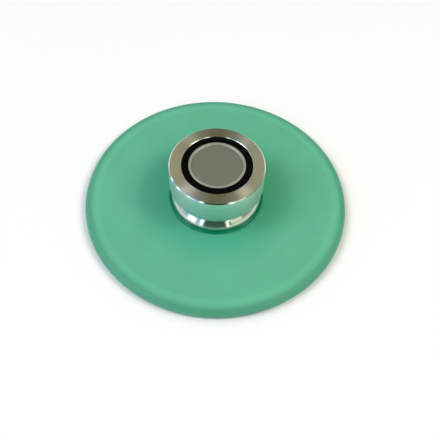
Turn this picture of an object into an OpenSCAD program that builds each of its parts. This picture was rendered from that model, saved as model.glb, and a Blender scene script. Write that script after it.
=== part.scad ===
// Record weight clamp: a round plate with a turned knob, set down over a turntable's spindle.
// Millimetres, +Z up, origin at the centre of the underside. The axis of every turned piece is Z.

/* [Plate] */
// Outer diameter of the plate
plate_d = 100; // [96:0.5:106]
// Thickness of the plate
plate_t = 4; // [4:0.1:6]
// Radius of the rounded upper edge
top_edge_r = 2.2; // [0.8:0.1:2.3]
// Radius of the rounded lower edge
bottom_edge_r = 1.5; // [0.5:0.1:1.6]
// Width of the flat rim that bears on the record
rim_w = 3.5; // [2:0.5:8]
// Depth of the relief inside that rim
relief_depth = 0.6; // [0.2:0.1:0.9]

/* [Seat washer] */
// Ledge of the translucent washer beyond the foot of the knob
washer_ledge = 1; // [0.5:0.1:3]
// Thickness of the washer, also the radius of its rounded edge
washer_t = 1; // [0.6:0.1:1.4]

/* [Knob] */
// Diameter of the grip
knob_d = 35; // [30:0.5:44]
// Height of the knob above the washer
knob_h = 17.7; // [17:0.1:24]
// Bevel at the top of the grip
grip_bevel = 0.4; // [0.2:0.1:1]
// Step from the grip in to the foot
foot_step = 0.5; // [0.1:0.1:1.5]
// Height of the foot's straight wall
foot_h = 1.5; // [1:0.1:2]
// Radius of the rounded shoulder above that wall
shoulder_r = 9; // [7:0.5:14]
// Lean of the shoulder where it leaves the wall, in degrees
shoulder_lean = 30; // [24:1:36]
// Depth of the waist groove below the grip
waist_depth = 2.5; // [2:0.1:3.5]
// Height of the waist's straight wall, below the slope to the grip
waist_h = 0.6; // [0.4:0.1:1.2]

/* [Inlay and badge] */
// Outer diameter of the black inlay ring
inlay_d = 25.9; // [20:0.1:28]
// Width of the inlay ring, with the badge inside it
inlay_w = 2.6; // [1.5:0.1:4]
// Thickness of the inlay ring
inlay_t = 1.5; // [1:0.1:2]
// Thickness of the badge at its raised rim
badge_t = 1.6; // [1:0.1:2]
// Width of the badge's raised rim
badge_rim_w = 0.8; // [0.4:0.1:1.2]
// Height of the rim above the field of the badge
badge_rim_h = 0.2; // [0.1:0.05:0.4]

/* [Spindle bush] */
// Diameter of the bore for the turntable's spindle
bore_d = 7.3; // [7.2:0.05:7.5]
// Outer diameter of the bush, which centres plate, washer and knob
bush_d = 13; // [12:0.1:14]
// Length of the bush
bush_l = 16; // [14:0.5:17]
// Lead-in bevel at the mouth of the bore
bore_bevel = 0.6; // [0.3:0.1:0.9]
// Thickness of the two rubber grip rings in the bore
grip_ring_t = 1.5; // [1.2:0.1:1.7]
// Height of the lower grip ring above the end of the bush
grip_ring_low = 3.5; // [3:0.5:5]
// Height of the upper grip ring above the end of the bush
grip_ring_high = 11; // [8.5:0.5:12]

/* [Screws] */
// Thread diameter of a screw
screw_d = 2.5; // [2:0.1:3]
// Length of a screw with its countersunk head
screw_l = 10; // [8:0.5:12]
// Diameter of the countersunk head
screw_head_d = 4.7; // [4:0.1:5.5]
// Width across the flats of the hexagon socket
socket_w = 1.5; // [1.2:0.1:1.8]
// Depth of the hexagon socket
socket_depth = 1; // [0.6:0.1:1.3]

/* [Hidden] */
$fn = 128;
// Number of screws that hold the plate to the knob, one node each
screw_count = 3;
// Overrun of every cut past the face that it opens
overrun = 1;
// Radial clearance of pieces that centre each other
fit_gap = 0.03;
// Radial clearance of the inlay ring and the badge
inlay_gap = 0.05;
// Radial clearance round a screw where it passes through
screw_gap = 0.1;
// Sink of the screw heads and the bush above the floor of the relief
sink = 0.1;
// Drop of the inlay ring below the face of the knob
inlay_drop = 0.25;
// Bevel round the recess in the top of the knob
recess_bevel = 0.2;
// Broken edge under the foot
broken_edge = 0.15;
// Depth of the fine groove inside the badge's rim
badge_groove = 0.12;
// Rounding of the inlay ring's upper edges
inlay_round_r = 0.25;
// Straight land at the edge of a screw head
head_land = 0.2;
// Depth of the tapped holes past the end of the screws
tap_spare = 1.5;
// Room at the bottom and the sides of a grip ring's groove
groove_room = 0.05;
// Small bevel on the upper edge of the bush
small_bevel = 0.3;

plate_r = plate_d / 2;
relief_r = plate_r - bottom_edge_r - rim_w;
// Level of the lower ends of bush and screws
sunk_z = relief_depth + sink;
foot_z = plate_t + washer_t;
knob_top = foot_z + knob_h;
knob_r = knob_d / 2;
foot_r = knob_r - foot_step;
waist_r = knob_r - waist_depth;
washer_r = foot_r + washer_ledge;
// Middle of the shoulder's arc, which starts at the top of the foot's wall
shoulder_x = foot_r - shoulder_r * cos(shoulder_lean);
shoulder_z = foot_z + foot_h - shoulder_r * sin(shoulder_lean);
// Level where that arc meets the waist
waist_z = shoulder_z + sqrt(pow(shoulder_r, 2) - pow(waist_r - shoulder_x, 2));
// Level of the grip's lower edge, above a slope of 45 degrees
slope_z = waist_z + waist_h;
grip_z = slope_z + waist_depth;
inlay_r = inlay_d / 2;
badge_r = inlay_r - inlay_w;
recess_floor = knob_top - inlay_drop - inlay_t;
bush_r = bush_d / 2;
bore_r = bore_d / 2;
grip_ring_r = grip_ring_t / 2;
screw_r = screw_d / 2;
head_r = screw_head_d / 2;
// The head tapers at 45 degrees, so its cone is as high as it is wide
head_cone_h = head_r - screw_r;
// The screws stand midway between the bush and the waist
screw_circle_r = (bush_r + waist_r) / 2;

// A square corner less a quarter disc, for rounding an outside corner
module corner_cut(r) {
    difference() {
        square(r + overrun);
        circle(r = r);
    }
}

// Places its children at each screw
module at_screw(i) {
    rotate([0, 0, 360 * i / screw_count + 90])
        translate([screw_circle_r, 0, 0])
            children();
}

module at_screws() {
    for (i = [0 : screw_count - 1])
        at_screw(i) children();
}

// Half section of the plate, rounded above and below at its edge
module plate_section() {
    difference() {
        square([plate_r, plate_t]);
        translate([plate_r - top_edge_r, plate_t - top_edge_r])
            corner_cut(top_edge_r);
        translate([plate_r - bottom_edge_r, bottom_edge_r])
            mirror([0, 1]) corner_cut(bottom_edge_r);
        translate([0, -overrun])
            square([relief_r, relief_depth + overrun]);
    }
}

// Hole with a countersink that opens downwards, for one screw
module countersunk_hole() {
    translate([0, 0, relief_depth - overrun])
        cylinder(r = screw_r + screw_gap, h = plate_t + 2 * overrun);
    translate([0, 0, relief_depth - overrun])
        cylinder(r = head_r + screw_gap, h = overrun + sink + head_land);
    translate([0, 0, sunk_z + head_land])
        cylinder(r1 = head_r + screw_gap, r2 = screw_r + screw_gap, h = head_cone_h);
}

module plate() {
    color([0.36, 0.71, 0.56])
        difference() {
            rotate_extrude() plate_section();
            translate([0, 0, -overrun])
                cylinder(r = bush_r + fit_gap, h = plate_t + 2 * overrun);
            at_screws() countersunk_hole();
        }
}

// Flat ring with a quarter-round outer edge
module washer_section() {
    inner_r = bush_r + fit_gap;
    translate([inner_r, 0])
        square([washer_r - washer_t - inner_r, washer_t]);
    intersection() {
        translate([washer_r - washer_t, 0]) circle(r = washer_t);
        translate([inner_r, 0]) square([washer_r - inner_r, washer_t]);
    }
}

module seat_washer() {
    color([0.05, 0.42, 0.27])
        translate([0, 0, plate_t])
            difference() {
                rotate_extrude() washer_section();
                at_screws()
                    translate([0, 0, -overrun])
                        cylinder(r = screw_r + screw_gap, h = washer_t + 2 * overrun);
            }
}

// Foot with a straight wall and a rounded shoulder, which runs on inside the core
module foot_section() {
    intersection() {
        translate([0, foot_z]) square([foot_r, slope_z - foot_z]);
        translate([shoulder_x, shoulder_z]) circle(r = shoulder_r);
    }
}

// Core and grip, with the waist and a slope between them
module grip_section() {
    polygon([
        [0, foot_z],
        [waist_r, foot_z],
        [waist_r, slope_z],
        [knob_r, grip_z],
        [knob_r, knob_top],
        [0, knob_top]
    ]);
}

// Half section of the knob without its bore: foot, waist, bevelled grip and recess
module knob_section() {
    difference() {
        union() {
            foot_section();
            grip_section();
        }
        translate([foot_r, foot_z]) bevel_cut(broken_edge);
        translate([knob_r, knob_top]) bevel_cut(grip_bevel);
        translate([0, recess_floor])
            square([inlay_r + inlay_gap, knob_top - recess_floor + overrun]);
        translate([inlay_r + inlay_gap, knob_top]) bevel_cut(recess_bevel);
    }
}

// A square on its point, which bevels the corner that it is centred on
module bevel_cut(size) {
    rotate(45) square(size * sqrt(2), center = true);
}

module knob() {
    color([0.72, 0.74, 0.70])
        difference() {
            rotate_extrude() knob_section();
            translate([0, 0, foot_z - overrun])
                cylinder(r = bush_r + fit_gap, h = sunk_z + bush_l - foot_z + overrun);
            at_screws()
                translate([0, 0, foot_z - overrun])
                    cylinder(r = screw_r + fit_gap,
                             h = sunk_z + screw_l + tap_spare - foot_z + overrun);
        }
}

// Flat ring with rounded upper edges
module inlay_section() {
    inner_r = badge_r + inlay_gap;
    difference() {
        translate([inner_r, 0]) square([inlay_r - inner_r, inlay_t]);
        translate([inlay_r - inlay_round_r, inlay_t - inlay_round_r])
            corner_cut(inlay_round_r);
        translate([inner_r + inlay_round_r, inlay_t - inlay_round_r])
            mirror([1, 0]) corner_cut(inlay_round_r);
    }
}

module inlay_ring() {
    color([0.03, 0.03, 0.04])
        translate([0, 0, recess_floor])
            rotate_extrude() inlay_section();
}

// Bare disc with a raised rim and a fine groove along its foot
module badge_section() {
    field_z = badge_t - badge_rim_h;
    brim_r = badge_r - badge_rim_w;
    difference() {
        square([badge_r, badge_t]);
        translate([badge_r, badge_t]) bevel_cut(badge_rim_h / 2);
        polygon([
            [0, field_z],
            [brim_r - badge_rim_h, field_z],
            [brim_r, badge_t],
            [brim_r, badge_t + overrun],
            [0, badge_t + overrun]
        ]);
        translate([brim_r - badge_rim_h - badge_groove, field_z])
            bevel_cut(badge_groove);
    }
}

module badge() {
    color([0.55, 0.55, 0.49])
        translate([0, 0, recess_floor])
            rotate_extrude() badge_section();
}

// Height of each grip ring's middle above the end of the bush
grip_ring_heights = [grip_ring_low, grip_ring_high];

module bush_section() {
    difference() {
        translate([bore_r, 0]) square([bush_r - bore_r, bush_l]);
        translate([bore_r, 0]) bevel_cut(bore_bevel);
        translate([bush_r, bush_l]) bevel_cut(small_bevel);
        for (height = grip_ring_heights)
            translate([bore_r - overrun, height - grip_ring_r - groove_room])
                square([overrun + grip_ring_t + groove_room, grip_ring_t + 2 * groove_room]);
    }
}

module spindle_bush() {
    color([0.12, 0.12, 0.13])
        translate([0, 0, sunk_z])
            rotate_extrude() bush_section();
}

// Rubber ring whose inner edge is level with the wall of the bore
module grip_ring(height) {
    color([0.08, 0.08, 0.08])
        translate([0, 0, sunk_z + height])
            rotate_extrude()
                translate([bore_r + grip_ring_r, 0])
                    circle(r = grip_ring_r);
}

module grip_ring_lower() {
    grip_ring(grip_ring_low);
}

module grip_ring_upper() {
    grip_ring(grip_ring_high);
}

// Countersunk screw with a hexagon socket in its head, which faces down
module screw() {
    socket_r = socket_w / sqrt(3);
    color([0.78, 0.79, 0.80])
        difference() {
            union() {
                cylinder(r = head_r, h = head_land);
                translate([0, 0, head_land])
                    cylinder(r1 = head_r, r2 = screw_r, h = head_cone_h);
                cylinder(r = screw_r, h = screw_l);
            }
            translate([0, 0, -overrun])
                cylinder(r = socket_r, h = socket_depth + overrun, $fn = 6);
        }
}

// One screw of the set, in its place under the plate
module placed_screw(i) {
    translate([0, 0, sunk_z])
        at_screw(i) screw();
}

module screw_1() {
    placed_screw(0);
}

module screw_2() {
    placed_screw(1);
}

module screw_3() {
    placed_screw(2);
}

plate();
seat_washer();
knob();
inlay_ring();
badge();
spindle_bush();
grip_ring_lower();
grip_ring_upper();
screw_1();
screw_2();
screw_3();
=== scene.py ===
"""Looks of a record weight clamp, built round its packed frame: a frosted acrylic plate, a glossy
washer, a turned aluminium knob with a black ring and a bare badge, and the studio they stand in.

It is laid out as a Blender add-on and run as a script. Lengths are in metres, +Z is up, and the
axis of every turned piece is Z, through the middle of the underside.
"""

import math

import bmesh
import bpy
from bpy.props import FloatProperty, FloatVectorProperty, IntProperty, PointerProperty
from mathutils import Matrix, Vector


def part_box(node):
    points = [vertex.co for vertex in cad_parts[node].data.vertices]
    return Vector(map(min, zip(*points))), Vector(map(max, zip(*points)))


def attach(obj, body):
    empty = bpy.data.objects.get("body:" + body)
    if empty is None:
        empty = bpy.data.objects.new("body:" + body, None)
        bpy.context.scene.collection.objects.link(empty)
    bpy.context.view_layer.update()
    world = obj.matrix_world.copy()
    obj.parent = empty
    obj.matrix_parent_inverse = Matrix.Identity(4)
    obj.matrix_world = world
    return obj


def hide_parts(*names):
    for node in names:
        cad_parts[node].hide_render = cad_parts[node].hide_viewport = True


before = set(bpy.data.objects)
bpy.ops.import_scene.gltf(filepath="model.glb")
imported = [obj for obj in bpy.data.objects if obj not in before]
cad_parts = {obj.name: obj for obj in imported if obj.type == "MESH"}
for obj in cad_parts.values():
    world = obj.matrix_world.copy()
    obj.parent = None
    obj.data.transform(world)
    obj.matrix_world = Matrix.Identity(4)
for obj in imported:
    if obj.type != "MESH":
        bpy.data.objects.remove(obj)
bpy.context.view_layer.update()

bl_info = {
    "name": "Record weight clamp",
    "version": (1, 0, 0),
    "blender": (4, 5, 0),
    "location": "3D View > Sidebar > Clamp",
    "description": "Builds the pieces of a turned record weight clamp and the studio round it",
    "category": "Object",
}

MM = 0.001
WHITE = (1.0, 1.0, 1.0, 1.0)
BODY = "root"

# Clearance round the bush, on which plate, washer and knob are centred
BUSH_CLEARANCE = 0.03 * MM
# How far a cutter stands out of the piece that it goes through
OVERRUN = 1.0 * MM
CUTTER_SEGMENTS = 64
# A point nearer to the axis than this lies on it
ON_AXIS = 1e-9
# Two faces that meet at more than this have a sharp edge between them
SHARP_ANGLE = math.radians(28)
# A face whose normal rises less than this is part of an upright wall
UPRIGHT = 0.3
# Faces across the rounded corner of the badge's rim
CORNER_STEPS = 4
ACRYLIC_IOR = 1.49


def node_levels(node):
    """Radius, lowest and highest level of a turned CAD node."""
    low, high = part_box(node)
    return min(-low.x, high.x, -low.y, high.y), low.z, high.z


def bore_radius():
    """Radius of the hole that plate, washer and knob have for the bush."""
    return node_levels("spindle_bush")[0] + BUSH_CLEARANCE


# The settings, each with its default and its unit


def length(name, description, default):
    """A length in metres that the user can change."""
    return FloatProperty(name=name, description=description, default=default, min=0.0,
                         unit="LENGTH", precision=5)


def colour(name, description, default):
    """A colour in linear light that the user can change."""
    return FloatVectorProperty(name=name, description=description, default=default, size=3,
                               min=0.0, max=1.0, subtype="COLOR")


def share(name, description, default):
    """A number from 0 to 1 that the user can change."""
    return FloatProperty(name=name, description=description, default=default, min=0.0, max=1.0,
                         subtype="FACTOR")


class ClampTurningSettings(bpy.types.PropertyGroup):
    """How fine the turned meshes are."""

    segments: IntProperty(name="Segments", description="Faces round each turned piece",
                          default=240, min=24, max=720)
    arc_steps: IntProperty(name="Arc steps", description="Faces across each rounded edge",
                           default=10, min=2, max=32)


class ClampPlateSettings(bpy.types.PropertyGroup):
    """Sizes and colours of the acrylic plate."""

    upper_edge: length("Upper edge", "Radius of the rounded upper edge", 2.2 * MM)
    lower_edge: length("Lower edge", "Radius of the rounded lower edge", 1.5 * MM)
    rim_width: length("Rim width", "Width of the flat rim underneath", 3.5 * MM)
    relief: length("Relief", "Depth of the relief inside that rim", 0.6 * MM)
    acrylic: colour("Acrylic", "Colour of the frosted acrylic", (0.160, 0.560, 0.385))
    # Painted shade: the plate's colour round the knob, where the knob keeps the light out
    painted_knob_shade: colour("Acrylic near the knob", "Colour where the knob keeps the light out",
                         (0.085, 0.480, 0.310))
    # Painted shade: the darker colour of the rounded rim, which gets less light
    painted_rim_shade: colour("Acrylic at the rim", "Colour where the rim is seen through its depth",
                        (0.090, 0.385, 0.255))
    frost: share("Frost", "Roughness of the frosted faces", 0.5)


class ClampWasherSettings(bpy.types.PropertyGroup):
    """Colours of the washer under the knob."""

    acrylic: colour("Washer acrylic", "Colour of the polished washer", (0.001, 0.128, 0.047))
    # Painted light: a paler green for the light that the rounded edge throws back
    edge: colour("Washer edge", "Colour that its rounded edge throws back", (0.006, 0.34, 0.17))


class ClampKnobSettings(bpy.types.PropertyGroup):
    """Sizes and colours of the turned knob."""

    foot_step: length("Foot step", "Step from the grip in to the foot", 0.5 * MM)
    foot_wall: length("Foot wall", "Height of the foot's straight wall", 1.5 * MM)
    waist_depth: length("Waist depth", "Depth of the waist groove below the grip", 2.5 * MM)
    waist_height: length("Waist height", "Height of that groove's straight wall", 0.6 * MM)
    shoulder: length("Shoulder", "Radius of the rounded shoulder below the groove", 9.0 * MM)
    lean: FloatProperty(name="Shoulder lean", default=math.radians(30.0), subtype="ANGLE",
                        description="Angle at which the shoulder leaves the foot's wall")
    bevel: length("Bevel", "Bevel at the top of the grip", 0.4 * MM)
    recess_bevel: length("Recess bevel", "Bevel round the recess", 0.2 * MM)
    broken_edge: length("Broken edge", "Bevel on the foot's lower edge", 0.15 * MM)
    lip: length("Lip", "Bevel on the grip's lower edge", 0.08 * MM)
    face_fall: length("Face fall", "Fall of the turned face from the recess to the bevel",
                      0.13 * MM)
    metal: colour("Metal", "Colour of the aluminium", (0.88, 0.88, 0.85))
    # Painted light: the straight walls get a brighter, bluer copy of the metal colour, for the
    # bluish light that they reflect
    painted_light_wall_metal: colour("Wall metal", "Colour of the straight walls, which are polished brighter",
                       (0.92, 0.95, 0.99))


class ClampTopSettings(bpy.types.PropertyGroup):
    """Sizes and colours of the black ring and the badge."""

    gap: length("Gap", "Radial gap on both sides of the black ring", 0.05 * MM)
    ring_rounding: length("Ring rounding", "Rounding of the ring's upper edges", 0.25 * MM)
    rim_width: length("Rim width", "Width of the badge's raised rim", 0.8 * MM)
    rim_height: length("Rim height", "Height of that rim above the field", 0.2 * MM)
    groove: length("Groove", "Depth of the fine groove inside the rim", 0.12 * MM)
    black: colour("Black", "Colour of the black ring", (0.0010, 0.0010, 0.0018))
    badge: colour("Badge", "Colour of the satin badge", (0.39, 0.39, 0.34))


class ClampScrewSettings(bpy.types.PropertyGroup):
    """Sizes of the screw holes."""

    count: IntProperty(name="Screws", description="Screws round the axis", default=3, min=1, max=8)
    hole: length("Hole radius", "Radius of the through holes", 1.35 * MM)
    head: length("Head radius", "Radius of the countersink's mouth", 2.45 * MM)
    land: length("Head land", "Depth of the countersink's straight mouth", 0.9 * MM)


class ClampStageSettings(bpy.types.PropertyGroup):
    """Camera, lamps and floor."""

    distance: length("Camera distance", "From the middle of the plate's upper face", 229.55 * MM)
    elevation: FloatProperty(name="Camera elevation", description="Height above the horizon",
                             default=math.radians(54.589), subtype="ANGLE")
    roll: FloatProperty(name="Camera roll", description="Turn of the picture",
                        default=math.radians(-2.12), subtype="ANGLE")
    focal_pixels: FloatProperty(name="Focal length", description="In pixels of a 440 wide frame",
                                default=596.04, min=100.0)
    lamp_level: FloatProperty(name="Lamp level", description="Factor on every lamp's radiance",
                              default=1.0, min=0.0)
    floor: colour("Floor", "Colour of the pale floor", (0.92, 0.86, 0.89))
    glow: share("Floor glow", "What the eye, a mirror or glass sees on top of the lit floor", 0.21)


SETTINGS = {
    "clamp_turning": ClampTurningSettings,
    "clamp_plate": ClampPlateSettings,
    "clamp_washer": ClampWasherSettings,
    "clamp_knob": ClampKnobSettings,
    "clamp_top": ClampTopSettings,
    "clamp_screws": ClampScrewSettings,
    "clamp_stage": ClampStageSettings,
}


# The meshes, made by turning a half section round the axis


def arc(centre, radius, start, end, steps):
    """Points of an arc in the half section, from one angle in degrees to another."""
    turns = [math.radians(start + (end - start) * i / steps) for i in range(steps + 1)]
    return [(centre[0] + radius * math.cos(t), centre[1] + radius * math.sin(t)) for t in turns]


def turned(name, outline, segments, closed):
    """Turns an outline of (radius, height) points round Z.

    An outline that isn't closed starts on Z. It ends on Z too, or in a free edge like the floor's.
    """
    mesh = bmesh.new()
    turns = [2 * math.pi * i / segments for i in range(segments)]
    rings = []
    for radius, height in outline:
        if radius < ON_AXIS:
            rings.append([mesh.verts.new((0.0, 0.0, height))] * segments)
        else:
            rings.append([mesh.verts.new((radius * math.cos(t), radius * math.sin(t), height))
                          for t in turns])
    following = rings[1:] + rings[:1] if closed else rings[1:]
    for lower, upper in zip(rings, following):
        for i in range(segments):
            j = (i + 1) % segments
            mesh.faces.new(list(dict.fromkeys([lower[i], lower[j], upper[j], upper[i]])))
    bmesh.ops.recalc_face_normals(mesh, faces=mesh.faces)
    data = bpy.data.meshes.new(name)
    mesh.to_mesh(data)
    mesh.free()
    piece = bpy.data.objects.new(name, data)
    bpy.context.scene.collection.objects.link(piece)
    return piece


def screw_places(settings):
    """The middle of each screw, from the CAD nodes."""
    places = []
    for i in range(settings.count):
        low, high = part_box(f"screw_{i + 1}")
        places.append(((low.x + high.x) / 2, (low.y + high.y) / 2))
    return places


def cut(piece, cutter_outline, places):
    """Cuts a turned shape out of a piece at each place, and removes the cutters."""
    for x, y in places:
        cutter = turned("cutter", cutter_outline, CUTTER_SEGMENTS, closed=False)
        cutter.location = (x, y, 0.0)
        bpy.context.view_layer.update()
        modifier = piece.modifiers.new("cut", "BOOLEAN")
        modifier.operation, modifier.solver, modifier.object = "DIFFERENCE", "EXACT", cutter
        graph = bpy.context.evaluated_depsgraph_get()
        data = bpy.data.meshes.new_from_object(piece.evaluated_get(graph))
        piece.modifiers.clear()
        piece.data = data
        bpy.data.objects.remove(cutter)
    if not piece.data.polygons:
        raise RuntimeError(f"{piece.name}: nothing is left after the cuts")


def finished(piece, node, materials, choose=None):
    """Shades a piece, gives it its materials, and puts it in the place of its CAD node."""
    piece.data.materials.clear()
    for material in materials:
        piece.data.materials.append(material)
    for face in piece.data.polygons:
        face.material_index = choose(face) if choose else 0
    piece.data.shade_smooth()
    piece.data.set_sharp_from_angle(angle=SHARP_ANGLE)
    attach(piece, BODY)
    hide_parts(node)


# The materials and the classes that write their nodes


class Value:
    """Wraps a number socket, so that maths on it in Python adds the Math nodes."""

    def __init__(self, shader, socket):
        self.shader, self.socket = shader, socket

    def math(self, operation, *values):
        node = self.shader.node("ShaderNodeMath", {"operation": operation},
                                dict(enumerate(values)))
        return Value(self.shader, node.outputs[0])

    def __add__(self, other):
        return self.math("ADD", self, other)

    def __radd__(self, other):
        return self.math("ADD", other, self)

    def __sub__(self, other):
        return self.math("SUBTRACT", self, other)

    def __rsub__(self, other):
        return self.math("SUBTRACT", other, self)

    def __mul__(self, other):
        return self.math("MULTIPLY", self, other)

    def __rmul__(self, other):
        return self.math("MULTIPLY", other, self)

    def __truediv__(self, other):
        return self.math("DIVIDE", self, other)

    def __pow__(self, other):
        return self.math("POWER", self, other)

    def least(self, other):
        return self.math("MINIMUM", self, other)

    def step(self, low, high):
        """Smooth rise from 0 at low to 1 at high, or a fall where high is below low."""
        node = self.shader.node("ShaderNodeMapRange", {"interpolation_type": "SMOOTHSTEP"},
                                {"Value": self, "From Min": min(low, high),
                                 "From Max": max(low, high),
                                 "To Min": float(high < low), "To Max": float(high > low)})
        return Value(self.shader, node.outputs[0])

    def band(self, middle, half_width):
        """1 at the middle, falling smoothly to 0 at half a width to either side."""
        away = self - middle
        return away.math("ABSOLUTE", away).step(half_width, 0.0)


class Shader:
    """The node tree of one material or of the world."""

    def __init__(self, owner):
        owner.use_nodes = True
        self.tree = owner.node_tree
        self.tree.nodes.clear()

    def node(self, kind, settings=None, inputs=None):
        """Adds a node: its settings first, then the values or links of its sockets."""
        node = self.tree.nodes.new(kind)
        for name, value in (settings or {}).items():
            setattr(node, name, value)
        for name, value in (inputs or {}).items():
            socket = node.inputs[name] if isinstance(name, int) else next(
                s for s in node.inputs if s.enabled and s.name == name)
            if isinstance(value, Value):
                value = value.socket
            if isinstance(value, bpy.types.NodeSocket):
                self.tree.links.new(value, socket)
            else:
                socket.default_value = value
        return node

    def value(self, kind, settings=None, inputs=None, output=0):
        return Value(self, self.node(kind, settings, inputs).outputs[output])

    def place(self, scale=1.0 / MM):
        """Object coordinates, in millimetres unless scaled otherwise."""
        source = self.node("ShaderNodeTexCoord").outputs["Object"]
        return self.node("ShaderNodeVectorMath", {"operation": "SCALE"},
                         {"Vector": source, "Scale": scale}).outputs["Vector"]

    def parts(self, vector):
        """The x, y and z of a vector."""
        node = self.node("ShaderNodeSeparateXYZ", None, {"Vector": vector})
        return [Value(self, socket) for socket in node.outputs]

    def radius(self, vector):
        """Distance from the Z axis."""
        flat = self.node("ShaderNodeVectorMath", {"operation": "MULTIPLY"},
                         {0: vector, 1: (1.0, 1.0, 0.0)})
        return self.value("ShaderNodeVectorMath", {"operation": "LENGTH"},
                          {0: flat.outputs[0]}, "Value")

    def noise(self, vector, scale, detail=2.0, roughness=0.5):
        """Noise from 0 to 1, whose patches get smaller as the scale grows."""
        return self.value("ShaderNodeTexNoise", None,
                          {"Vector": vector, "Scale": scale, "Detail": detail,
                           "Roughness": roughness}, "Fac")

    def rings(self, distance, scale, detail=1.0):
        """Noise that only changes with one value, such as the distance from the axis."""
        return self.value("ShaderNodeTexNoise", {"noise_dimensions": "1D"},
                          {"W": distance, "Scale": scale, "Detail": detail}, "Fac")

    def mix(self, factor, first, second):
        """A colour between two others."""
        node = self.node("ShaderNodeMix", {"data_type": "RGBA"},
                         {"Factor": factor, "A": rgba(first), "B": rgba(second)})
        return next(s for s in node.outputs if s.enabled)

    def bump(self, height, distance):
        """A normal that follows a height from 0 to 1, over a distance in metres."""
        return self.node("ShaderNodeBump", None,
                         {"Height": height, "Distance": distance}).outputs["Normal"]

    def surface(self, **inputs):
        """Ends a material in one Principled shader; _ in a name stands for a space."""
        shader = self.node("ShaderNodeBsdfPrincipled", None,
                           {name.replace("_", " "): value for name, value in inputs.items()})
        self.node("ShaderNodeOutputMaterial", None, {"Surface": shader.outputs[0]})


def rgba(value):
    """A colour with its alpha, or a socket as it is."""
    return value if isinstance(value, bpy.types.NodeSocket) else (*tuple(value)[:3], 1.0)


def toned(colour_of, factor, lift=0.0):
    """A paler or darker version of a colour."""
    return [min(1.0, c * factor + lift) for c in colour_of]


def material(name):
    """A new material, and the shader that its nodes are written with."""
    made = bpy.data.materials.new(name)
    return made, Shader(made)


def frosted_acrylic(settings, plate_radius):
    """Frosted translucent acrylic, with painted shade: deeper green at the rim and round the knob,
    and a paler ring of painted light inside the rim.
    """
    made, s = material("frosted_acrylic")
    place = s.place()
    away = s.radius(place)
    edge = plate_radius / MM - away
    cloud = s.noise(place, scale=0.06)
    grain = s.noise(place, scale=4.0, detail=3.0, roughness=0.6)
    # Painted shade: darker acrylic within 3.5 mm of the rim, full within 1.3 mm
    rim = edge.step(3.5, 1.3)
    # Painted light: a paler ring about 4.6 mm in from the rim
    painted_light_ring = edge.band(4.6, 1.8)
    pale, deep = toned(settings.acrylic, 1.12, lift=0.01), toned(settings.acrylic, 0.94)
    colour_here = s.mix(cloud.step(0.35, 0.65), deep, settings.acrylic)
    # Painted shade: the plate takes that colour within 20 mm of the axis, fading out by 34 mm
    colour_here = s.mix(away.step(34.0, 20.0), colour_here, settings.painted_knob_shade)
    colour_here = s.mix(painted_light_ring * 0.45, colour_here, pale)
    colour_here = s.mix(rim, colour_here, settings.painted_rim_shade)
    s.surface(Base_Color=colour_here, Roughness=settings.frost + (grain - 0.5) * 0.12,
              Normal=s.bump(grain, 0.012 * MM), IOR=ACRYLIC_IOR, Subsurface_Weight=1.0,
              Subsurface_Radius=(0.35, 1.0, 0.6), Subsurface_Scale=3.0 * MM)
    return made


def polished_acrylic(settings, washer_radius):
    """Glossy dark green acrylic; its rounded edge is half a mirror, with a paler green painted in
    for the light it throws back from inside.
    """
    made, s = material("polished_acrylic")
    place, rim = s.place(), washer_radius / MM
    away = s.radius(place)
    haze = s.noise(place, scale=0.5)
    # Painted light, partly real: the outer 0.5 mm turns paler green for light thrown back, and
    # half metallic for a real mirror
    edge = away.step(rim - 0.5, rim - 0.2)
    pale = toned(settings.acrylic, 1.35, lift=0.002)
    body = s.mix(haze.step(0.35, 0.7), settings.acrylic, pale)
    s.surface(Base_Color=s.mix(edge, body, settings.edge), Metallic=edge * 0.5,
              Roughness=0.05 + haze * 0.05, IOR=ACRYLIC_IOR, Specular_IOR_Level=0.2,
              Normal=s.bump(s.rings(away, scale=6.0), 0.002 * MM))
    return made


def turned_metal(name, colour_of, roughness, spread, groove_pitch, groove_depth, anisotropy):
    """Metal with the fine rings that a lathe tool leaves; their pitch is in millimetres."""
    made, s = material(name)
    place = s.place()
    # Height counts too, so that an upright wall has rings as well as a flat face
    across = s.radius(place) + s.parts(place)[2] * 0.83
    fine = s.rings(across, scale=1.0 / groove_pitch, detail=2.0)
    broad = s.rings(across, scale=0.9, detail=2.0)
    smudge = s.noise(place, scale=0.22, detail=3.0)
    warm = [c * k for c, k in zip(colour_of, (0.97, 0.94, 0.88))]
    s.surface(Base_Color=s.mix(broad.step(0.3, 0.75), colour_of, warm), Metallic=1.0,
              Roughness=roughness + (fine - 0.5) * spread + (smudge - 0.5) * 0.06,
              Normal=s.bump(fine, groove_depth), Anisotropic=anisotropy,
              Anisotropic_Rotation=0.25)
    return made


def gloss_black(settings):
    """The black ring, with the faint sheen of a polished moulding."""
    made, s = material("gloss_black")
    place = s.place()
    haze = s.noise(place, scale=0.9)
    dust = s.noise(place, scale=9.0, detail=1.0).step(0.70, 0.78)
    s.surface(Base_Color=s.mix(dust * 0.25, settings.black, (0.05, 0.05, 0.055)),
              Roughness=0.20 + haze * 0.12, IOR=1.5, Specular_IOR_Level=0.12,
              Normal=s.bump(haze, 0.004 * MM))
    return made


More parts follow.
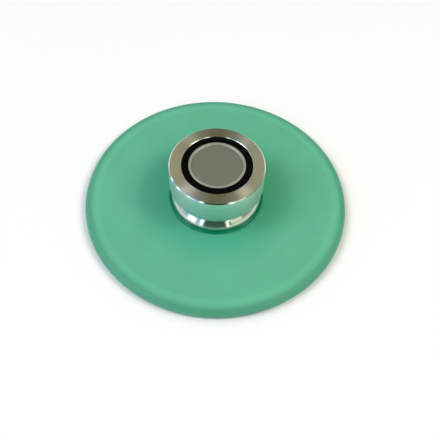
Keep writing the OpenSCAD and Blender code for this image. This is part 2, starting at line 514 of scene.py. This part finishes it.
def satin_badge(settings, rim_foot):
    """Fine sandblasted metal of the badge, left bare, with a paler rim of painted highlight and a
    dark groove of painted shade.
    """
    made, s = material("satin_badge")
    place = s.place()
    away = s.radius(place)
    # Painted highlight: the raised rim is paler than the field, for the light it catches
    rim = away.step(rim_foot / MM - 0.05, rim_foot / MM + 0.1)
    # Painted shade: a dark line along the fine groove inside the rim
    groove = away.band((rim_foot - settings.groove) / MM, 0.2)
    grain = s.noise(place, scale=5.5, detail=3.0, roughness=0.7)
    broad = s.noise(place, scale=0.35)
    field = s.mix(grain.step(0.3, 0.72), toned(settings.badge, 0.72), settings.badge)
    field = s.mix(groove * 0.6, field, toned(settings.badge, 0.4))
    s.surface(Base_Color=s.mix(rim, field, toned(settings.badge, 1.42)), Metallic=0.75,
              Roughness=0.46 + (broad - 0.5) * 0.1, Normal=s.bump(grain, 0.02 * MM))
    return made


def moulded(name, colour_of, roughness, grain_scale, grain_depth):
    """Matt plastic or rubber with a fine grain."""
    made, s = material(name)
    place = s.place()
    grain = s.noise(place, scale=grain_scale, detail=3.0, roughness=0.6)
    worn = s.noise(place, scale=0.3).step(0.5, 0.75)
    s.surface(Base_Color=s.mix(worn * 0.6, colour_of, toned(colour_of, 1.6, lift=0.004)),
              Roughness=roughness + (grain - 0.5) * 0.15, Normal=s.bump(grain, grain_depth))
    return made


# The pieces, each in the place of its CAD node


class CLAMP_OT_plate(bpy.types.Operator):
    """Builds the acrylic plate, with its rounded edge, relief and screw holes"""

    bl_idname = "clamp.plate"
    bl_label = "Acrylic plate"

    def execute(self, context):
        scene = context.scene
        plate, screws, turning = scene.clamp_plate, scene.clamp_screws, scene.clamp_turning
        radius, low, top = node_levels("plate")
        bore = bore_radius()
        relief_edge = radius - plate.lower_edge - plate.rim_width
        floor = low + plate.relief
        upper, lower, steps = plate.upper_edge, plate.lower_edge, turning.arc_steps
        outline = [(bore, floor), (relief_edge, floor), (relief_edge, low)]
        outline += arc((radius - lower, low + lower), lower, -90, 0, steps)
        outline += arc((radius - upper, top - upper), upper, 0, 90, steps)
        outline += [(bore, top)]
        piece = turned("acrylic_plate", outline, turning.segments, closed=True)
        head, hole = screws.head, screws.hole
        land = floor + screws.land - plate.relief
        cutter = [(0.0, low - OVERRUN), (head, low - OVERRUN), (head, land),
                  (hole, land + head - hole), (hole, top + OVERRUN), (0.0, top + OVERRUN)]
        cut(piece, cutter, screw_places(screws))
        finished(piece, "plate", [frosted_acrylic(plate, radius)])
        return {"FINISHED"}


class CLAMP_OT_washer(bpy.types.Operator):
    """Builds the glossy washer between plate and knob"""

    bl_idname = "clamp.washer"
    bl_label = "Washer"

    def execute(self, context):
        scene = context.scene
        radius, low, top = node_levels("seat_washer")
        bore = bore_radius()
        edge = top - low
        outline = [(bore, low)]
        outline += arc((radius - edge, low), edge, 0, 90, scene.clamp_turning.arc_steps)
        outline += [(bore, top)]
        piece = turned("washer", outline, scene.clamp_turning.segments, closed=True)
        hole = scene.clamp_screws.hole
        cutter = [(0.0, low - OVERRUN), (hole, low - OVERRUN), (hole, top + OVERRUN),
                  (0.0, top + OVERRUN)]
        cut(piece, cutter, screw_places(scene.clamp_screws))
        finished(piece, "seat_washer",
                 [polished_acrylic(scene.clamp_washer, radius)])
        return {"FINISHED"}


class CLAMP_OT_knob(bpy.types.Operator):
    """Builds the turned knob: foot, waist, bevelled grip and recess"""

    bl_idname = "clamp.knob"
    bl_label = "Turned knob"

    def execute(self, context):
        scene = context.scene
        knob, turning = scene.clamp_knob, scene.clamp_turning
        grip, low, top = node_levels("knob")
        bush_top = node_levels("spindle_bush")[2]
        ring, ring_low, _ = node_levels("inlay_ring")
        foot, waist = grip - knob.foot_step, grip - knob.waist_depth
        bore, recess = bore_radius(), ring + scene.clamp_top.gap
        edge, lip, rim = knob.broken_edge, knob.lip, knob.recess_bevel
        shoulder_x = foot - knob.shoulder * math.cos(knob.lean)
        shoulder_z = low + knob.foot_wall - knob.shoulder * math.sin(knob.lean)
        end = math.acos((waist - shoulder_x) / knob.shoulder)
        slope = shoulder_z + knob.shoulder * math.sin(end) + knob.waist_height
        grip_low, bevel_top = slope + knob.waist_depth, top - knob.face_fall
        outline = [(0.0, bush_top), (bore, bush_top), (bore, low), (foot - edge, low),
                   (foot, low + edge)]
        outline += arc((shoulder_x, shoulder_z), knob.shoulder, math.degrees(knob.lean),
                       math.degrees(end), 2 * turning.arc_steps)
        outline += [(waist, slope), (grip - lip, grip_low - lip), (grip, grip_low + lip),
                    (grip, bevel_top - knob.bevel), (grip - knob.bevel, bevel_top),
                    (recess + rim, top), (recess, top - rim), (recess, ring_low), (0.0, ring_low)]
        piece = turned("turned_knob", outline, turning.segments, closed=False)
        face = turned_metal("turned_face", knob.metal, roughness=0.22, spread=0.05,
                            groove_pitch=0.16, groove_depth=0.0010 * MM, anisotropy=1.0)
        side = turned_metal("polished_side", knob.metal, roughness=0.15, spread=0.04,
                            groove_pitch=0.22, groove_depth=0.0003 * MM, anisotropy=0.80)
        # Painted light: the walls' brighter, bluer metal colour stands in for the bluish light
        # they reflect
        wall = turned_metal("turned_wall", knob.painted_light_wall_metal, roughness=0.25, spread=0.05,
                            groove_pitch=0.20, groove_depth=0.0006 * MM, anisotropy=0.95)

        def finish(polygon):
            """The finish of a face: 1 on the turned top, 2 on the outer walls, 0 elsewhere."""
            away = polygon.center.xy.length
            if away < grip - knob.bevel and polygon.center.z > top - rim:
                return 1
            return 2 if abs(polygon.normal.z) < UPRIGHT and away > foot - edge else 0

        finished(piece, "knob", [side, face, wall], finish)
        return {"FINISHED"}


class CLAMP_OT_top(bpy.types.Operator):
    """Builds the black ring and the bare badge in the top of the knob"""

    bl_idname = "clamp.top"
    bl_label = "Black ring and badge"

    def execute(self, context):
        scene = context.scene
        settings, turning = scene.clamp_top, scene.clamp_turning
        badge_radius, low, badge_top = node_levels("badge")
        ring_radius, _, ring_top = node_levels("inlay_ring")
        inner, edge, steps = badge_radius + settings.gap, settings.ring_rounding, turning.arc_steps
        outline = [(inner, low), (ring_radius, low)]
        outline += arc((ring_radius - edge, ring_top - edge), edge, 0, 90, steps)
        outline += arc((inner + edge, ring_top - edge), edge, 90, 180, steps)
        ring = turned("black_ring", outline, turning.segments, closed=True)
        finished(ring, "inlay_ring", [gloss_black(settings)])

        rim, rise, groove = settings.rim_width, settings.rim_height, settings.groove
        field, brim, corner = badge_top - rise, badge_radius - rim - rise, rise / 2
        outline = [(0.0, low), (badge_radius, low), (badge_radius, badge_top - corner)]
        outline += arc((badge_radius - corner, badge_top - corner), corner, 0, 90,
                       CORNER_STEPS)[1:]
        outline += [(badge_radius - rim, badge_top), (brim, field),
                    (brim - groove, field - groove), (brim - 2 * groove, field), (0.0, field)]
        badge = turned("bare_badge", outline, turning.segments, closed=False)
        finished(badge, "badge", [satin_badge(settings, brim)])
        return {"FINISHED"}


class CLAMP_OT_fittings(bpy.types.Operator):
    """Gives the bush, the grip rings and the screws their finishes"""

    bl_idname = "clamp.fittings"
    bl_label = "Bush, rings and screws"

    def execute(self, context):
        screws = context.scene.clamp_screws
        plastic = moulded("bush_plastic", (0.020, 0.020, 0.022), roughness=0.45,
                          grain_scale=2.5, grain_depth=0.006 * MM)
        rubber = moulded("grip_rubber", (0.012, 0.012, 0.012), roughness=0.75,
                         grain_scale=6.0, grain_depth=0.01 * MM)
        steel = turned_metal("screw_steel", (0.58, 0.57, 0.55), roughness=0.28, spread=0.12,
                             groove_pitch=0.12, groove_depth=0.001 * MM, anisotropy=0.3)
        finishes = {"spindle_bush": plastic, "grip_ring_lower": rubber, "grip_ring_upper": rubber}
        finishes.update({f"screw_{i + 1}": steel for i in range(screws.count)})
        for name, finish in finishes.items():
            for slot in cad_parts[name].material_slots:
                slot.material = finish
        return {"FINISHED"}


# The floor, the light and the camera

# Name, azimuth (to the right of the camera side), elevation, width and height in degrees,
# radiance and colour of each lamp
LAMPS = (
    ("left_softbox", -80, 50, 20, 24, 5.6, (0.97, 0.94, 1.0)),
    ("left_strip", -29, 36, 7, 62, 0.80, (0.96, 0.98, 0.92)),
    ("left_window", -51, 17, 18, 20, 1.1, (0.98, 0.98, 1.0)),
    ("left_low", -81, 20, 7, 12, 1.5, (0.60, 0.90, 1.0)),
    ("left_side", -101, 13, 7, 10, 1.3, (0.42, 0.92, 0.94)),
    ("right_softbox", 80, 50, 20, 24, 6.1, (1.0, 0.97, 0.84)),
    ("right_strip", 26.5, 18, 6, 26, 0.80, (0.98, 1.0, 0.90)),
    ("right_column", 34, 48, 10, 34, 1.05, (0.96, 1.0, 0.93)),
    ("right_window", 48, 22, 24, 20, 0.44, (0.96, 1.0, 0.84)),
)
LAMP_DISTANCE = 1.2
# Watts on each square metre of an area lamp that give it a radiance of 1
WATTS_OF_RADIANCE = 4

FLOOR_RADIUS = 4.0
# The floor lies just below the plate, so that no two faces share a place
FLOOR_LEVEL = -0.06 * MM
FLOOR_SEGMENTS = 96
# What is seen on top of the lit floor far off, where the lamps don't reach
FAR_GLOW = 0.5

# Colours of the room, in linear light: its two sides and what they have low down, the side
# opposite the camera, the strip through the middle, and the camera's own side, low down and above
ROOM = {
    "left": (0.25, 0.50, 0.66),
    "right": (0.18, 0.24, 0.15),
    "low": (0.36, 0.41, 0.39),
    "back": (0.48, 0.47, 0.32),
    "middle": (0.145, 0.135, 0.082),
    "low_front": (0.55, 0.68, 0.55),
    "camera_side": (0.03, 0.085, 0.055),
}

# Width and height of the picture, and the pixel that the middle of the plate's upper face meets
FRAME = (440, 437)
AIM_PIXEL = (216.10, 194.50)
SENSOR_WIDTH = 36.0
NEAREST_SEEN = 0.01


def direction(azimuth, elevation):
    """Unit vector to an azimuth, to the right of the camera side, and an elevation in degrees."""
    a, e = math.radians(azimuth), math.radians(elevation)
    return Vector((math.sin(a) * math.cos(e), -math.cos(a) * math.cos(e), math.sin(e)))


def add_lamp(name, azimuth, elevation, width, height, radiance, colour_of, level):
    """A soft box of a given size in degrees, facing the origin."""
    lamp = bpy.data.lights.new(name, "AREA")
    lamp.shape = "RECTANGLE"
    lamp.size = 2 * LAMP_DISTANCE * math.tan(math.radians(width / 2))
    lamp.size_y = 2 * LAMP_DISTANCE * math.tan(math.radians(height / 2))
    lamp.energy = radiance * level * WATTS_OF_RADIANCE * lamp.size * lamp.size_y
    lamp.color = colour_of
    holder = bpy.data.objects.new(name, lamp)
    towards = direction(azimuth, elevation)
    holder.location = towards * LAMP_DISTANCE
    holder.rotation_euler = towards.to_track_quat("Z", "Y").to_euler()
    holder.visible_camera = False
    bpy.context.scene.collection.objects.link(holder)


def add_world():
    """A dim room, bluish to the left, olive to the right, pale low down, dark at the camera."""
    world = bpy.data.worlds.new("room")
    bpy.context.scene.world = world
    s = Shader(world)
    where = s.node("ShaderNodeTexCoord").outputs["Generated"]
    x, y, up = s.parts(where)
    aside = x.math("ABSOLUTE", x)
    towards = y * -1.0
    front = towards.step(0.30, 0.62)
    in_front = front * (aside / (x * x + y * y) ** 0.5).step(0.46, 0.36)
    sides = s.mix(x.step(-0.3, 0.3), ROOM["left"], ROOM["right"])
    sides = s.mix(up.step(0.19, 0.12), sides, ROOM["low"])
    room = s.mix(towards.step(-0.35, 0.0) + up.step(0.42, 0.22), ROOM["back"], sides)
    room = s.mix(aside.step(0.05, 0.25), ROOM["middle"], room)
    room = s.mix(up.step(0.17, 0.10) * towards.step(0.15, 0.45), room, ROOM["low_front"])
    room = s.mix(in_front, room, ROOM["camera_side"])
    background = s.node("ShaderNodeBackground", None, {"Color": room, "Strength": 1.0})
    s.node("ShaderNodeOutputWorld", None, {"Surface": background.outputs[0]})


def floor_paint(settings):
    """A pale floor that keeps the shadow and looks white to the eye, in a mirror and in glass,
    with a painted contact shadow round the plate where that glow is held back.
    """
    made, s = material("floor")
    path = s.node("ShaderNodeLightPath").outputs
    eye, mirror, glass = (Value(s, path[name]) for name in ("Is Camera Ray", "Is Glossy Ray",
                                                            "Is Transmission Ray"))
    away = s.radius(s.place(1.0))
    # Painted shadow: no glow within 48 mm of the axis, rising to full at 54 mm, so the floor right
    # round the plate stays darker
    near, far = away.step(0.048, 0.054), away.step(0.2, 1.2)
    lift = near * settings.glow + far * FAR_GLOW
    glow = (eye + mirror + glass).least(1.0) * lift
    lit = s.node("ShaderNodeBsdfDiffuse", None, {"Color": rgba(settings.floor)})
    shine = s.node("ShaderNodeEmission", None, {"Color": WHITE, "Strength": glow})
    both = s.node("ShaderNodeAddShader", None, {0: lit.outputs[0], 1: shine.outputs[0]})
    s.node("ShaderNodeOutputMaterial", None, {"Surface": both.outputs[0]})
    return made


def camera_matrix(settings, target):
    """Where the camera stands, from its distance, elevation, roll and aim."""
    e, turn = settings.elevation, settings.roll
    back = Vector((0.0, -math.cos(e), math.sin(e)))
    right = Vector((1.0, 0.0, 0.0))
    base = Matrix((right, back.cross(right), back)).transposed()
    aim = Vector(((AIM_PIXEL[0] - FRAME[0] / 2) / settings.focal_pixels,
                  (FRAME[1] / 2 - AIM_PIXEL[1]) / settings.focal_pixels, -1.0)).normalized()
    swing = Vector((0.0, 0.0, -1.0)).rotation_difference(aim).to_matrix()
    turned_base = base @ Matrix.Rotation(-turn, 3, "Z") @ swing.transposed()
    placed = turned_base.to_4x4()
    placed.translation = target + back * settings.distance
    return placed


class CLAMP_OT_stage(bpy.types.Operator):
    """Sets up the floor, the soft light and the camera"""

    bl_idname = "clamp.stage"
    bl_label = "Studio"

    def execute(self, context):
        scene, settings = context.scene, context.scene.clamp_stage
        floor = turned("floor", [(0.0, FLOOR_LEVEL), (FLOOR_RADIUS, FLOOR_LEVEL)],
                       FLOOR_SEGMENTS, closed=False)
        floor.data.materials.append(floor_paint(settings))
        add_world()
        for lamp in LAMPS:
            add_lamp(*lamp, settings.lamp_level)
        view = bpy.data.cameras.new("camera")
        view.sensor_fit, view.sensor_width = "HORIZONTAL", SENSOR_WIDTH
        view.lens = settings.focal_pixels * SENSOR_WIDTH / FRAME[0]
        view.clip_start = NEAREST_SEEN
        camera = bpy.data.objects.new("camera", view)
        scene.collection.objects.link(camera)
        camera.matrix_world = camera_matrix(settings, Vector((0.0, 0.0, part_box("plate")[1].z)))
        scene.camera = camera
        scene.view_settings.view_transform = "Standard"
        return {"FINISHED"}


class CLAMP_PT_panel(bpy.types.Panel):
    """Lists the pieces and their settings"""

    bl_label = "Record weight clamp"
    bl_idname = "CLAMP_PT_panel"
    bl_space_type = "VIEW_3D"
    bl_region_type = "UI"
    bl_category = "Clamp"

    def draw(self, context):
        for operator in OPERATORS:
            self.layout.operator(operator.bl_idname)
        for name, group in SETTINGS.items():
            box = self.layout.box()
            box.label(text=group.__doc__)
            for setting in group.__annotations__:
                box.prop(getattr(context.scene, name), setting)


OPERATORS = (CLAMP_OT_plate, CLAMP_OT_washer, CLAMP_OT_knob, CLAMP_OT_top, CLAMP_OT_fittings,
             CLAMP_OT_stage)
CLASSES = (*SETTINGS.values(), *OPERATORS, CLAMP_PT_panel)


def register():
    for made in CLASSES:
        bpy.utils.register_class(made)
    for name, group in SETTINGS.items():
        setattr(bpy.types.Scene, name, PointerProperty(type=group))


def unregister():
    for name in SETTINGS:
        delattr(bpy.types.Scene, name)
    for made in reversed(CLASSES):
        bpy.utils.unregister_class(made)


def main():
    register()
    bpy.ops.clamp.plate()
    bpy.ops.clamp.washer()
    bpy.ops.clamp.knob()
    bpy.ops.clamp.top()
    bpy.ops.clamp.fittings()
    bpy.ops.clamp.stage()


if __name__ == "__main__":
    main()
